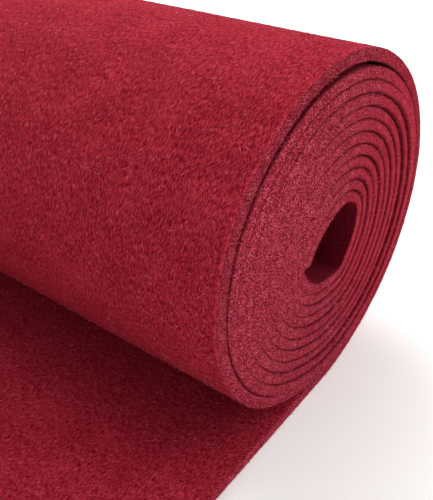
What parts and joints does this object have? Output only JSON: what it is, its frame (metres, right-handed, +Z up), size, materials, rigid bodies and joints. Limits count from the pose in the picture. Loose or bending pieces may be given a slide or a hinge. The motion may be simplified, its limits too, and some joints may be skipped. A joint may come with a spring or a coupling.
{
  "type": "roll of felt",
  "caption": "Roll of thick felt lying on its side, wound from one cut length with an open core, flat cut ends and its outer end loose in front.",
  "frame": {"origin": "bottom centre of the whole piece's box, on the surface it lies on", "axes": "+X along the roll, towards the end that the picture shows; -Y forward, the way the loose end lies; +Z up"},
  "size_m": [0.5, 0.3008, 0.1489],
  "materials": {
    "felt_red": "matte needled felt, deep red"
  },
  "bodies": {
    "root": {"felt_roll": "felt_red"}
  },
  "joints": []
}
